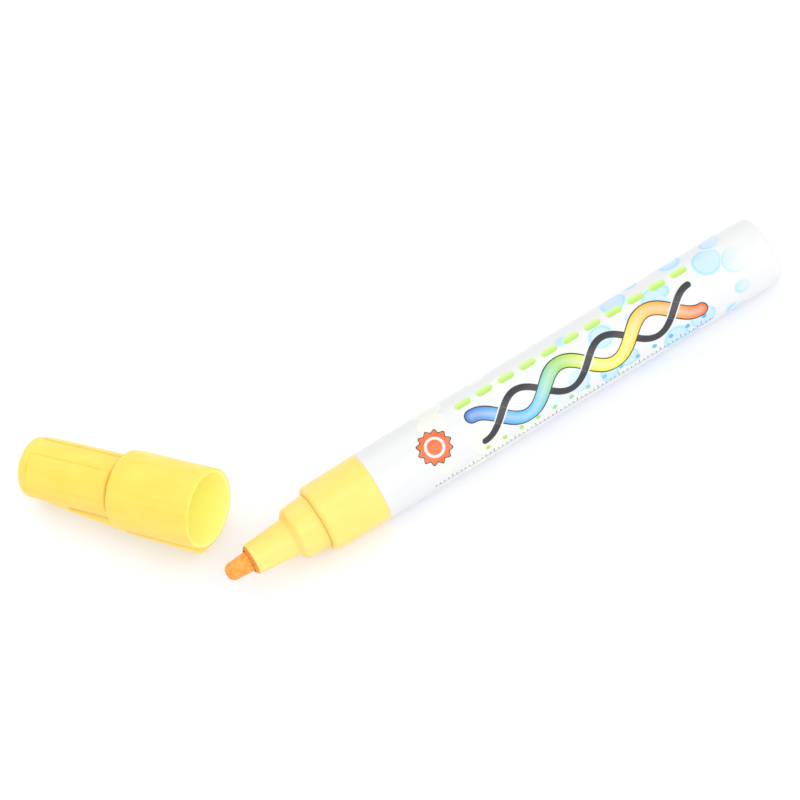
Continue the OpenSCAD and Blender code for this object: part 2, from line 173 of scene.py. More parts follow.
def start_vertex(name: str, place: Vector) -> bpy.types.Object:
    """Add a new piece that is one vertex, and stay in edit mode.

    Args:
        name: The piece's name.
        place: Where the vertex is.

    Returns:
        The new piece.
    """
    bpy.ops.object.select_all(action="DESELECT")
    bpy.ops.mesh.primitive_plane_add(size=1.0, location=(0, 0, 0), enter_editmode=True)
    piece = bpy.context.object
    piece.name = name
    piece.data.name = name
    bpy.ops.mesh.select_mode(type="VERT")
    bpy.ops.mesh.select_all(action="SELECT")
    bpy.ops.mesh.merge(type="CENTER")
    bpy.ops.transform.translate(value=place)
    return piece


def drawn_line(name: str, places: list[Vector]) -> bpy.types.Object:
    """Add a new piece that is a chain of edges, with all of it selected in edit mode.

    Args:
        name: The piece's name.
        places: The chain's points in order.

    Returns:
        The new piece.
    """
    piece = start_vertex(name, places[0])
    for before, after in zip(places, places[1:]):
        bpy.ops.mesh.extrude_vertices_move(TRANSFORM_OT_translate={"value": after - before})
    bpy.ops.mesh.select_all(action="SELECT")
    return piece


def weld() -> None:
    """Merge doubled vertices and turn all faces outwards, in edit mode."""
    bpy.ops.mesh.select_all(action="SELECT")
    bpy.ops.mesh.remove_doubles(threshold=WELD)
    bpy.ops.mesh.normals_make_consistent(inside=False)


def turned(name: str, outline: list[Point], steps: int, closed: bool = False) -> bpy.types.Object:
    """Turn an outline right round +Z, and leave the piece in object mode.

    Args:
        name: The piece's name.
        outline: Points as radius and station.
        steps: Number of faces round the axis.
        closed: Whether the outline joins its own start.

    Returns:
        The new piece.
    """
    points = outline + outline[:1] if closed else outline
    piece = drawn_line(name, [Vector((radius, 0.0, station)) for radius, station in points])
    bpy.ops.mesh.spin(steps=steps, angle=2 * math.pi, center=(0, 0, 0), axis=(0, 0, 1))
    weld()
    bpy.ops.object.mode_set(mode="OBJECT")
    return piece


def lay(piece: bpy.types.Object, axis: Axis) -> None:
    """Shade a finished drawing and lay it on an axis, with its place in its mesh.

    Args:
        piece: A piece drawn in millimetres along +Z.
        axis: The axis that it belongs on.
    """
    bpy.ops.object.select_all(action="DESELECT")
    piece.select_set(True)
    bpy.context.view_layer.objects.active = piece
    bpy.ops.object.shade_smooth_by_angle(angle=SMOOTH_ANGLE)
    piece.matrix_world = axis.matrix()
    bpy.ops.object.transform_apply(location=True, rotation=True, scale=True)


def paint(piece: bpy.types.Object, material: bpy.types.Material) -> None:
    """Give a piece or a CAD node one material all over.

    Args:
        piece: The object to paint.
        material: Its new material.
    """
    if not piece.material_slots:
        piece.data.materials.append(material)
    for slot in piece.material_slots:
        slot.material = material


def report(piece: bpy.types.Object) -> None:
    """Log a piece's name and its number of faces."""
    LOG.info("%s: %d faces", piece.name, len(piece.data.polygons))


def srgb(code: str) -> Colour:
    """Turn a colour code of six hex digits into linear light.

    Args:
        code: Two hex digits each for red, green and blue.

    Returns:
        Linear red, green, blue and a full alpha.
    """
    shares = [int(code[index:index + 2], 16) / 255 for index in (0, 2, 4)]
    linear = [share / 12.92 if share <= 0.04045 else ((share + 0.055) / 1.055) ** 2.4 for share in shares]
    return (linear[0], linear[1], linear[2], 1.0)


class Value:
    """A node's output that can be used in Python sums."""

    def __init__(self, graph: "Graph", socket: bpy.types.NodeSocket) -> None:
        """Keep the graph and the socket."""
        self.graph = graph
        self.socket = socket

    def other(self, out: str) -> "Value":
        """Return another output of the same node."""
        return Value(self.graph, self.socket.node.outputs[out])

    def math(self, operation: str, *others: "Value | float") -> "Value":
        """Return a Math node's result with this value as its first input."""
        return self.graph.node("ShaderNodeMath", {"operation": operation}, dict(enumerate((self, *others))))

    def __add__(self, other: "Value | float") -> "Value":
        """Return the sum."""
        return self.math("ADD", other)

    __radd__ = __add__

    def __sub__(self, other: "Value | float") -> "Value":
        """Return the difference."""
        return self.math("SUBTRACT", other)

    def __rsub__(self, other: float) -> "Value":
        """Return a number less this value."""
        return self.graph.node("ShaderNodeMath", {"operation": "SUBTRACT"}, {0: other, 1: self})

    def __mul__(self, other: "Value | float") -> "Value":
        """Return the product."""
        return self.math("MULTIPLY", other)

    __rmul__ = __mul__

    def __truediv__(self, other: "Value | float") -> "Value":
        """Return the quotient."""
        return self.math("DIVIDE", other)

    def __abs__(self) -> "Value":
        """Return the size without its sign."""
        return self.math("ABSOLUTE")

    def fade(self, start: float, end: float) -> "Value":
        """Return 0 up to start and 1 from end on, with a smooth change between them."""
        sockets = {"Value": self, "From Min": start, "From Max": end}
        return self.graph.node("ShaderNodeMapRange", {"interpolation_type": "SMOOTHSTEP"}, sockets)

    def under(self, limit: "Value | float", soft: float = 0.05) -> "Value":
        """Return 1 where this value is below a limit and 0 above it, with a soft edge."""
        return (self - limit).fade(soft, -soft)

    def between(self, low: float, high: "Value | float", soft: float = 0.05) -> "Value":
        """Return 1 where this value is between two limits and 0 outside them, with soft edges."""
        return self.under(high, soft) * (1 - self.under(low, soft))

    def hypot(self, other: "Value") -> "Value":
        """Return the length of the way that this value and one at a right angle to it make."""
        return (self * self + other * other).math("SQRT")

    def swing(self, amount: float) -> "Value":
        """Return noise about 0.5 as noise about 0, times an amount."""
        return (self - 0.5) * amount


class Graph:
    """A material's nodes, with one method that makes any of them."""

    # A Mix node has sockets for each kind of value, and these are the ones for colours
    MIX_FACTOR, MIX_BELOW, MIX_ABOVE, MIX_RESULT = 0, 6, 7, 2

    def __init__(self, name: str) -> None:
        """Make an empty material.

        Args:
            name: The material's name.
        """
        self.material = bpy.data.materials.new(name)
        self.material.use_nodes = True
        self.tree = self.material.node_tree
        self.tree.nodes.clear()

    def node(
        self,
        kind: str,
        settings: dict[str, object] | None = None,
        sockets: dict[str | int, object] | None = None,
        out: str | int = 0,
    ) -> Value:
        """Make a node.

        Args:
            kind: The node's type.
            settings: Its properties, set first. The key stops holds a ramp's places and colours.
            sockets: A value or a link for each input, by name or number.
            out: The output to return.

        Returns:
            The chosen output, with no socket on a node that has none.
        """
        made = self.tree.nodes.new(kind)
        for key, setting in (settings or {}).items():
            if key != "stops":
                setattr(made, key, setting)
                continue
            elements = made.color_ramp.elements
            while len(elements) < len(setting):
                elements.new(1.0)
            for element, (place, colour) in zip(elements, setting):
                element.position = place
                element.color = colour
        for key, given in (sockets or {}).items():
            if isinstance(given, Value):
                self.tree.links.new(given.socket, made.inputs[key])
            else:
                made.inputs[key].default_value = given
        return Value(self, made.outputs[out] if made.outputs else None)

    def place(self) -> Value:
        """Return the place of a point on the piece, in the part's own frame."""
        return self.node("ShaderNodeTexCoord", out="Object")

    def laid(self, axis: Axis, stretch: float = 1.0) -> Value:
        """Return places in millimetres along an axis, with patterns drawn out along it.

        Args:
            axis: The axis whose start is the origin of the places.
            stretch: How many times longer than wide a pattern becomes.

        Returns:
            The turned places as a vector.
        """
        return self.node("ShaderNodeMapping", {"vector_type": "TEXTURE"}, {
            "Vector": self.place(),
            "Location": axis.start,
            "Rotation": axis.turn().to_euler(),
            "Scale": (MM, MM, MM * stretch),
        })

    def noise(self, place: Value, size: float, detail: float = 3.0) -> Value:
        """Return noise about 0.5.

        Args:
            place: Where the noise is read, in millimetres or metres.
            size: The size of a patch in the same unit.
            detail: How many finer layers it has.

        Returns:
            The noise's value.
        """
        return self.node("ShaderNodeTexNoise", {}, {"Vector": place, "Scale": 1 / size, "Detail": detail})

    def mix(self, factor: Value, below: "Value | Colour", above: "Value | Colour") -> Value:
        """Return the colour below where the factor is 0 and the colour above where it is 1."""
        sockets = {self.MIX_FACTOR: factor, self.MIX_BELOW: below, self.MIX_ABOVE: above}
        return self.node("ShaderNodeMix", {"data_type": "RGBA"}, sockets, self.MIX_RESULT)

    def bump(self, height: Value, depth: float, strength: float) -> Value:
        """Return the normal of a surface with small relief, with its depth in millimetres."""
        sockets = {"Height": height, "Distance": depth * MM, "Strength": strength}
        return self.node("ShaderNodeBump", {}, sockets)

    def surface(self, sockets: dict[str | int, object]) -> bpy.types.Material:
        """Join a Principled shader to the output.

        Args:
            sockets: A value or a link for each input of the shader.

        Returns:
            The finished material.
        """
        shader = self.node("ShaderNodeBsdfPrincipled", {}, sockets)
        self.node("ShaderNodeOutputMaterial", {}, {"Surface": shader})
        return self.material


@dataclass(frozen=True)
class Patch:
    """A stretch of a turned piece, within a radius of its axis, with another colour: painted shade, painted light
    and an ink stain here, and a painted glow where lit is set.
    """

    colour: Colour
    radius: float
    start: float
    end: float
    soft: float = 0.1
    # Colour of a painted glow in the patch, black for none
    lit: Colour = BLACK

    def share(self, reach: Value, station: Value) -> Value:
        """Return 1 in the patch and 0 outside it."""
        return reach.under(self.radius, self.soft) * station.between(self.start, self.end, self.soft)


@dataclass(frozen=True)
class MouldedPlastic:
    """Satin moulded plastic with flow streaks and a fine skin, with patches of another colour and, in a patch, a
    painted glow that stands in for light coming into the bore from outside.
    """

    name: str
    colour: Colour
    deep: Colour
    roughness: float
    depth_of_light: float = 0.7
    light_reach: float = 1.4
    patches: tuple[Patch, ...] = ()
    # Strength of the painted glow in the lit patches
    painted_glow_strength: float = 0.0
    streak_stretch: float = 12.0
    streak_size: float = 1.6
    cloud_size: float = 6.0
    skin_size: float = 0.3
    deep_at: Range = (0.36, 0.64)
    skin_gloss: float = 0.18
    streak_gloss: float = 0.12
    streak_relief: float = 0.6
    relief: float = 0.03
    relief_share: float = 0.35
    light_spread: tuple[float, float, float] = (1.0, 0.95, 0.4)
    specular: float = 0.45

    def tint(self, graph: Graph, axis: Axis, tone: Value) -> tuple[Value, Value | Colour]:
        """Mix the two colours by a tone, and lay the patches on them.

        Args:
            graph: The material's nodes.
            axis: The piece's axis.
            tone: The share of the deeper colour.

        Returns:
            The piece's colour, and the colour of the painted glow that stands in for light coming into it from
            outside.
        """
        colour = graph.mix(tone, self.colour, self.deep)
        painted_glow: Value | Colour = BLACK
        if not self.patches:
            return colour, painted_glow
        across = graph.node("ShaderNodeSeparateXYZ", {}, {0: graph.laid(axis)}, "X")
        reach, station = across.hypot(across.other("Y")), across.other("Z")
        for patch in self.patches:
            share = patch.share(reach, station)
            colour = graph.mix(share, colour, patch.colour)
            if patch.lit != BLACK:
                painted_glow = graph.mix(share, painted_glow, patch.lit)
        return colour, painted_glow

    def material(self, axis: Axis) -> bpy.types.Material:
        """Make the material for a piece whose mould filled along an axis.

        Args:
            axis: The axis that the streaks follow.

        Returns:
            The new material.
        """
        graph = Graph(self.name)
        streaks = graph.noise(graph.laid(axis, self.streak_stretch), self.streak_size, detail=4.0)
        cloud = graph.noise(graph.laid(axis), self.cloud_size, detail=2.0)
        skin = graph.noise(graph.laid(axis), self.skin_size)
        tone = (streaks * 0.5 + cloud * 0.5).fade(*self.deep_at)
        colour, painted_glow = self.tint(graph, axis, tone)
        return graph.surface({
            "Base Color": colour,
            "Roughness": self.roughness + skin.swing(self.skin_gloss) + streaks.swing(self.streak_gloss),
            "Normal": graph.bump(skin + streaks * self.streak_relief, self.relief, self.relief_share),
            "Subsurface Weight": self.depth_of_light,
            "Subsurface Radius": self.light_spread,
            "Subsurface Scale": self.light_reach * MM,
            "Specular IOR Level": self.specular,
            # Painted glow: emission in the lit patches, a stand-in for light coming in from outside
            "Emission Color": painted_glow,
            "Emission Strength": self.painted_glow_strength,
        })


@dataclass(frozen=True)
class FibreFelt:
    """Bonded fibres that are soaked with ink, with painted shade in the hollows between strands."""

    name: str
    wet: Colour
    dry: Colour
    gap_shade_colour: Colour
    strand_stretch: float = 7.0
    strand_size: float = 0.16
    mottle_stretch: float = 1.8
    mottle_size: float = 0.55
    dry_at: Range = (0.35, 0.65)
    gap_shade_at: Range = (0.47, 0.33)
    gap_shade_share: float = 0.7
    roughness: float = 0.72
    mottle_gloss: float = 0.3
    mottle_relief: float = 0.8
    relief: float = 0.12
    relief_share: float = 0.7
    specular: float = 0.3
    sheen: float = 0.15

    def material(self, axis: Axis) -> bpy.types.Material:
        """Make the material for a nib whose fibres run along an axis.

        Args:
            axis: The axis that the fibres follow.

        Returns:
            The new material.
        """
        graph = Graph(self.name)
        strands = graph.noise(graph.laid(axis, self.strand_stretch), self.strand_size, detail=4.0)
        mottle = graph.noise(graph.laid(axis, self.mottle_stretch), self.mottle_size)
        colour = graph.mix(mottle.fade(*self.dry_at), self.wet, self.dry)
        # Painted shade in the hollows between strands
        gap_shade = strands.fade(*self.gap_shade_at)
        return graph.surface({
            "Base Color": graph.mix(gap_shade * self.gap_shade_share, colour, self.gap_shade_colour),
            "Roughness": self.roughness + mottle.swing(self.mottle_gloss),
            "Normal": graph.bump(strands + mottle * self.mottle_relief, self.relief, self.relief_share),
            "Specular IOR Level": self.specular,
            "Sheen Weight": self.sheen,
        })


@dataclass(frozen=True)
class Rubber:
    """Dull rubber with a fine speckle."""

    name: str
    colour: Colour
    bloom: Colour
    speckle_size: float = 0.18
    bloom_at: Range = (0.5, 0.72)
    roughness: float = 0.7
    speckle_gloss: float = 0.25
    relief: float = 0.02
    relief_share: float = 0.4

    def material(self, axis: Axis) -> bpy.types.Material:
        """Make the material for a ring.

        Args:
            axis: The axis that the ring lies on.

        Returns:
            The new material.
        """
        graph = Graph(self.name)
        speckle = graph.noise(graph.laid(axis), self.speckle_size)
        return graph.surface({
            "Base Color": graph.mix(speckle.fade(*self.bloom_at), self.colour, self.bloom),
            "Roughness": self.roughness + speckle.swing(self.speckle_gloss),
            "Normal": graph.bump(speckle, self.relief, self.relief_share),
        })


@dataclass(frozen=True)
class Steel:
    """Bright steel with fine drawing or polishing marks."""

    name: str
    colour: Colour
    roughness: float
    mark_size: float
    dull: Colour = srgb("8d9094")
    dull_at: Range = (0.4, 0.7)
    mark_stretch: float = 5.0
    mark_gloss: float = 0.2
    relief: float = 0.01
    relief_share: float = 0.2

    def material(self, axis: Axis) -> bpy.types.Material:
        """Make the material for a wire or a ball.

        Args:
            axis: The axis that the marks follow.

        Returns:
            The new material.
        """
        graph = Graph(self.name)
        marks = graph.noise(graph.laid(axis, self.mark_stretch), self.mark_size, detail=4.0)
        return graph.surface({
            "Base Color": graph.mix(marks.fade(*self.dull_at), self.colour, self.dull),
            "Metallic": 1.0,
            "Roughness": self.roughness + marks.swing(self.mark_gloss),
            "Normal": graph.bump(marks, self.relief, self.relief_share),
        })


@dataclass(frozen=True)
class Unrolled:
    """A tube's surface laid flat: distances along it from its front and round it from a print's middle."""

    graph: Graph
    along: Value
    around: Value


@dataclass(frozen=True)
class PrintedLacquer:
    """White lacquer on a metal tube, printed with a ribbon, pills, dots, a scale, a sun and bubbles."""

    name: str = "printed_lacquer"
    white: Colour = srgb("d7d7d5")
    ink: Colour = srgb("2b2a2e")
    lime: Colour = srgb("a3d04a")
    pale_lime: Colour = srgb("c9e38a")
    orange: Colour = srgb("e8672c")
    sky: Colour = srgb("8fcdf0")
    blue: Colour = srgb("4aa3dc")
    haze: Colour = srgb("eef4cd")
    facing: float = math.radians(35.8)
    start: float = 24.0
    end: float = 76.0
    rainbow: tuple[Colour, ...] = tuple(
        srgb(code) for code in ("2f78c4", "57b5e6", "8cc94b", "f6e13d", "f9b233", "ee6a2b")
    )
    wave: float = 20.8
    swing: float = 3.0
    parting: float = math.pi / 2
    ribbon_at: float = -1.3
    ribbon_half: float = 1.3
    satin: float = 0.35
    cord_half: float = 0.72
    outline: float = 0.26
    pill_at: float = 5.3
    pill_pitch: float = 5.2
    pill_half: float = 1.9
    pill_radius: float = 0.95
    dot_at: float = -6.2
    dot_pitch: float = 4.0
    dot_radius: float = 0.55
    scale_at: float = -8.6
    scale_share: float = 0.8
    mark_pitch: float = 1.0
    long_mark_pitch: float = 5.0
    mark_half: float = 0.09
    short_mark: float = 0.75
    long_mark: float = 1.3
    line_half: float = 0.07
    crisp: float = 0.03
    sun_at: float = 14.2
    sun_level: float = 0.2
    sun_radius: float = 3.3
    sun_points: int = 12
    sun_scallop: float = 0.32
    sun_ring: float = 1.9
    sun_ring_half: float = 0.28
    bubble_cell: float = 6.5
    bubble_scatter: float = 0.8
    bubble_least: float = 0.32
    bubble_growth: float = 0.2
    bubble_rim: float = 0.86
    bubble_rim_half: float = 0.028
    bubble_crisp: float = 0.012
    bubble_front: Range = (7.0, 16.0)
    bubble_rear: Range = (90.0, 82.0)
    bubble_blue_at: Range = (26.0, 52.0)
    bubble_gain_at: Range = (30.0, 60.0)
    bubble_gain: float = 0.45
    bubble_faint: float = 0.5
    disc_share: float = 0.5
    rim_share: float = 0.45
    peel_size: float = 1.1
    dust_stretch: float = 3.0
    dust_size: float = 0.25
    dust_gloss: float = 0.14
    dust_relief: float = 0.15
    relief: float = 0.04
    relief_share: float = 0.2
    roughness: float = 0.3
    coat: float = 0.15
    coat_roughness: float = 0.12
    specular: float = 0.5

    def unroll(self, graph: Graph, axis: Axis, front: float, radius: float) -> Unrolled:
        """Unroll the tube's surface, with two prints round it.

        Args:
            graph: The material's nodes.
            axis: The tube's axis.
            front: The station of the tube's front edge.
            radius: The tube's radius.

        Returns:
            The tube's surface, measured round it from the nearer print.
        """
        up = graph.node("ShaderNodeSeparateXYZ", {}, {0: graph.laid(axis)}, "X")
        across, station = up.other("Y"), up.other("Z")
        ahead = up * math.cos(self.facing) + across * math.sin(self.facing)
        aside = across * math.cos(self.facing) - up * math.sin(self.facing)
        round_it = aside.math("ARCTAN2", ahead) * -radius
        half = math.pi * radius / 2
        return Unrolled(graph, station - front, round_it.math("WRAP", half, -half))

    def bubbles(self, tube: Unrolled, below: Value | Colour) -> Value:
        """Lay a wash of pale bubbles on the tube, lime in front and blue behind.

        Args:
            tube: The tube's surface.
            below: The colour under the bubbles.

        Returns:
            The colour with the bubbles on it.
        """
        graph, along = tube.graph, tube.along
        cells = graph.node("ShaderNodeTexVoronoi", {"feature": "F1"}, {
            "Vector": graph.place(),
            "Scale": 1 / (self.bubble_cell * MM),
            "Randomness": self.bubble_scatter,
        }, "Distance")
        chance = graph.node("ShaderNodeSeparateColor", {}, {0: cells.other("Color")})
        size = chance * self.bubble_growth + self.bubble_least
        disc = cells.under(size, self.bubble_crisp)
        rim = abs(cells - size * self.bubble_rim).under(self.bubble_rim_half, self.bubble_crisp)
        tint = graph.mix(along.fade(*self.bubble_blue_at), self.haze, self.sky)
        zone = along.fade(*self.bubble_front) * along.fade(*self.bubble_rear)
        gain = along.fade(*self.bubble_gain_at) * self.bubble_gain + self.bubble_faint
        return graph.mix((disc * self.disc_share + rim * self.rim_share) * zone * gain, below, tint)

    def ribbon(self, tube: Unrolled, below: Value) -> Value:
        """Lay a coloured ribbon and a dark cord on the tube that twist round each other.

        Args:
            tube: The tube's surface.
            below: The colour under them.

        Returns:
            The colour with ribbon and cord on it, both with round ends.
        """
        graph = tube.graph
        rate = 2 * math.pi / self.wave
        inside = tube.along.math("MAXIMUM", self.start).math("MINIMUM", self.end)
        beyond = tube.along - inside
        phase = (inside - self.start) * rate + self.parting
        wave, slope = phase.math("SINE") * self.swing, phase.math("COSINE")
        steep = slope * (self.swing * rate)
        lean = (steep * steep + 1.0).math("SQRT")
        level = tube.around - self.ribbon_at
        to_ribbon = ((level - wave) / lean).hypot(beyond)
        to_cord = ((level + wave) / lean).hypot(beyond)
        last = len(self.rainbow) - 1
        stops = [(index / last, colour) for index, colour in enumerate(self.rainbow)]
        share = (inside - self.start) / (self.end - self.start)
        rainbow = graph.node("ShaderNodeValToRGB", {"stops": stops}, {"Fac": share})
        satin = graph.mix((1 - to_ribbon.fade(0.0, self.ribbon_half)) * self.satin, rainbow, self.white)
        cord = to_cord.under(self.cord_half)
        first = graph.mix(cord, below, self.ink)
        second = graph.mix(to_ribbon.under(self.ribbon_half + self.outline), first, self.ink)
        third = graph.mix(to_ribbon.under(self.ribbon_half), second, satin)
        over = slope.under(0.0) * to_ribbon.under(self.ribbon_half + 2 * self.outline)
        parted = graph.mix(to_cord.under(self.cord_half + self.outline) * over, third, self.white)
        return graph.mix(cord * over, parted, self.ink)

    def pills(self, tube: Unrolled, below: Value) -> Value:
        """Lay a row of lime pills on the tube.

        Args:
            tube: The tube's surface.
            below: The colour under the pills.

        Returns:
            The colour with the pills on it.
        """
        step = (tube.along - self.start).math("WRAP", self.pill_pitch / 2, -self.pill_pitch / 2)
        reach = (abs(step) - (self.pill_half - self.pill_radius)).math("MAXIMUM", 0.0)
        level = tube.around - self.pill_at
        zone = tube.along.between(self.start - self.pill_half, self.end + self.pill_half)
        tint = tube.graph.mix(level.fade(-self.pill_radius, self.pill_radius), self.lime, self.pale_lime)
        return tube.graph.mix(reach.hypot(level).under(self.pill_radius) * zone, below, tint)

    def dots(self, tube: Unrolled, below: Value) -> Value:
        """Lay a row of small dots on the tube that change from lime to blue.

        Args:
            tube: The tube's surface.
            below: The colour under the dots.

        Returns:
            The colour with the dots on it.
        """
        step = (tube.along - self.start).math("WRAP", self.dot_pitch / 2, -self.dot_pitch / 2)
        level = tube.around - self.dot_at
        zone = tube.along.between(self.start - self.dot_radius, self.end + self.dot_radius)
        tint = tube.graph.mix(tube.along.fade(self.start, self.end), self.lime, self.blue)
        return tube.graph.mix(step.hypot(level).under(self.dot_radius) * zone, below, tint)

    def scale(self, tube: Unrolled, below: Value) -> Value:
        """Lay a fine dark scale on the tube, with some longer marks.

        Args:
            tube: The tube's surface.
            below: The colour under the scale.

        Returns:
            The colour with the scale on it.
        """
        along, level = tube.along, tube.around - self.scale_at
        marks = along.math("PINGPONG", self.mark_pitch / 2).under(self.mark_half, self.crisp)
        longer = along.math("PINGPONG", self.long_mark_pitch / 2).under(self.mark_half, self.crisp)
        height = longer * (self.long_mark - self.short_mark) + self.short_mark
        rising = level.between(0.0, height, self.crisp) * marks
        line = abs(level).under(self.line_half, self.crisp)
        zone = along.between(self.sun_at - self.sun_radius, self.end + self.pill_half)
        return tube.graph.mix(rising.math("MAXIMUM", line) * zone * self.scale_share, below, self.ink)

    def sun(self, tube: Unrolled, below: Value) -> Value:
        """Lay a scalloped orange disc with a pale ring on the tube, near its front.

        Args:
            tube: The tube's surface.
            below: The colour under the disc.

        Returns:
            The colour with the disc on it.
        """
        across, level = tube.along - self.sun_at, tube.around - self.sun_level
        away = across.hypot(level)
        lobes = (level.math("ARCTAN2", across) * self.sun_points).math("COSINE") * self.sun_scallop
        rim = away - lobes
        edge = tube.graph.mix(rim.under(self.sun_radius + self.outline), below, self.ink)
        disc = tube.graph.mix(rim.under(self.sun_radius), edge, self.orange)
        return tube.graph.mix(abs(away - self.sun_ring).under(self.sun_ring_half), disc, self.white)

    def material(self, axis: Axis, front: float, radius: float) -> bpy.types.Material:
        """Make the tube's material.

        Args:
            axis: The tube's axis.
            front: The station of the tube's front edge.
            radius: The tube's radius.

        Returns:
            The new material.
        """
        graph = Graph(self.name)
        tube = self.unroll(graph, axis, front, radius)
        colour = self.bubbles(tube, self.white)
        for motif in (self.scale, self.pills, self.dots, self.ribbon, self.sun):
            colour = motif(tube, colour)
        peel = graph.noise(graph.laid(axis), self.peel_size, detail=2.0)
        dust = graph.noise(graph.laid(axis, self.dust_stretch), self.dust_size)
        return graph.surface({
            "Base Color": colour,
            "Roughness": self.roughness + dust.swing(self.dust_gloss),
            "Normal": graph.bump(peel + dust * self.dust_relief, self.relief, self.relief_share),
            "Coat Weight": self.coat,
            "Coat Roughness": self.coat_roughness,
            "Specular IOR Level": self.specular,
        })


# Ink stain and painted shade on the nozzle's bevel round the nib
INK_AND_SHADE_MOUTH = Patch(srgb("dd8a2c"), radius=3.22, start=4.0, end=6.9, soft=0.12)
# Painted light in the cap's bore: a paler colour and a painted glow where the bore lies in shade
PAINTED_LIGHT_BORE = Patch(srgb("fff99a"), radius=7.95, start=23.6, end=45.0, lit=srgb("fff85a"))
# Painted shade in the crease where the slim part meets the skirt
STEP_CREASE_SHADE = Patch(srgb("e6bb42"), radius=7.0, start=21.85, end=23.0, soft=0.2)
# Painted shade on the clip, darker towards the shell beside it
CLIP_SHADE_NEAR_SLIM = Patch(srgb("eec552"), radius=7.9, start=9.0, end=22.8, soft=0.5)
CLIP_SHADE_NEAR_SKIRT = Patch(srgb("eec552"), radius=9.75, start=22.8, end=41.0, soft=0.4)
# The front section's plastic, with an ink stain and painted shade on its bevel
FRONT_PLASTIC_MOUTH_SHADE = MouldedPlastic(
    "front_plastic_mouth_shade", srgb("fbd778"), srgb("fad26a"), roughness=0.36, depth_of_light=0.45, light_reach=0.8,
    patches=(INK_AND_SHADE_MOUTH,),
)
# The cap's plastic, with painted light in its bore and painted shade in the crease at its step
CAP_PLASTIC_PAINTED_LIGHT_AND_SHADE = MouldedPlastic(
    "cap_plastic_painted_light_and_shade", srgb("fed65f"), srgb("fdd152"), roughness=0.4, depth_of_light=0.4, light_reach=0.7,
    patches=(PAINTED_LIGHT_BORE, STEP_CREASE_SHADE), painted_glow_strength=0.064,
)
# The cap's plastic, painted paler on the clip as painted light on its side, with painted shade near the shell
CLIP_PLASTIC_PAINTED_LIGHT_AND_SHADE = MouldedPlastic(
    "clip_plastic_painted_light_and_shade", srgb("ffe379"), srgb("fede6b"), roughness=0.4, depth_of_light=0.4, light_reach=0.7,
    patches=(CLIP_SHADE_NEAR_SLIM, CLIP_SHADE_NEAR_SKIRT),
)
LINER_PLASTIC = MouldedPlastic("liner_plastic", srgb("fff4ac"), srgb("fdee9c"), roughness=0.5)
VALVE_PLASTIC = MouldedPlastic("valve_plastic", srgb("f1f0ec"), srgb("e4e3dd"), roughness=0.42)
# Ink-soaked fibre, with painted shade in the hollows between strands
INKED_FIBRE_GAP_SHADE = FibreFelt("inked_fibre_gap_shade", wet=srgb("ee9034"), dry=srgb("f9ac4e"), gap_shade_colour=srgb("b8621c"))
SEAL_RUBBER = Rubber("seal_rubber", srgb("2c2d30"), bloom=srgb("4a4b4f"))
SPRING_WIRE = Steel("spring_wire", srgb("c9ccd0"), roughness=0.28, mark_size=0.12)
POLISHED_STEEL = Steel("polished_steel", srgb("d4d6d9"), roughness=0.16, mark_size=0.5)
LACQUER = PrintedLacquer()


def span(node: str, axis: Axis) -> tuple[float, float, float]:
    """Measure a node that lies on the pen's axis.

    Args:
        node: The node's name.
        axis: The pen's axis.

    Returns:
        Its front station, rear station and largest radius in millimetres.
    """
    low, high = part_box(node)
    return (low.x - axis.start.x) / MM, (high.x - axis.start.x) / MM, (high.z - low.z) / (2 * MM)


def pen_axis() -> Axis:
    """Find the pen's axis in the frame.

    Returns:
        The axis, with stations from the nib's tip and the upper side as its front.
    """
    low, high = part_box("barrel")
    middle = (low + high) / 2
    return Axis(Vector((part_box("nib")[0].x, middle.y, middle.z)), Vector((1, 0, 0)), Vector((0, 0, 1)))


def cap_axis(step_inside: float) -> Axis:
    """Find the cap's axis in the frame, from the mouth's mount and the clip's hinge.

    Args:
        step_inside: The station at which the wide bore of the cap starts.

    Returns:
        The axis, with stations from the cap's closed end and the clip's side as its front.
    """
    mouth = next(mount for mount in frame["record"]["mounts"] if mount["name"] == "cap_mouth")
    hinge = next(joint for joint in frame["joints"] if joint["name"] == "clip_flex")
    along = Vector(mouth["axis"])
    middle = step_inside + mouth["dims"]["length_mm"] / 2
    return Axis(Vector(mouth["pos_m"]) - along * (middle * MM), along, Vector(hinge["axis"]).cross(along))


@dataclass
class Barrel:
    """White printed tube that holds the ink, closed and slightly domed at its rear."""

    axis: Axis
    wall: float = 0.6
    end_wall: float = 1.2
    taper: float = 0.2
    taper_len: float = 6.0
    edge: float = 2.2
    dome: float = 0.4
    lip: float = 0.14
    dome_steps: int = 8
    steps: int = 192

    def outline(self) -> list[Point]:
        """Draw the wall's section.

        Returns:
            Points from the inner floor round the front edge to the dome's top.
        """
        front, rear, radius = span("barrel", self.axis)
        flat = rear - self.dome
        bore, rear_radius = radius - self.wall, radius - self.taper
        dome_radius = rear_radius - self.edge
        ball = (dome_radius ** 2 + self.dome ** 2) / (2 * self.dome)
        floor = flat - self.end_wall
        wall = rounded([
            Corner(0.0, floor), Corner(bore, floor, self.wall), Corner(bore, front),
            Corner(radius, front, self.lip), Corner(radius, flat - self.taper_len, self.edge),
            Corner(rear_radius, flat, self.edge), Corner(dome_radius, flat),
        ])
        top = [dome_radius * (1 - step / self.dome_steps) for step in range(1, self.dome_steps + 1)]
        return wall + [(reach, rear - ball + math.sqrt(ball ** 2 - reach ** 2)) for reach in top]

    def build(self) -> bpy.types.Object:
        """Turn the tube, dress it and hang it on its body.

        Returns:
            The new piece.
        """
        piece = turned("barrel_tube", self.outline(), self.steps)
        lay(piece, self.axis)
        front, _, radius = span("barrel", self.axis)
        paint(piece, LACQUER.material(self.axis, front, radius))
        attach(piece, Body.PEN.value)
        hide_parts("barrel")
        return piece


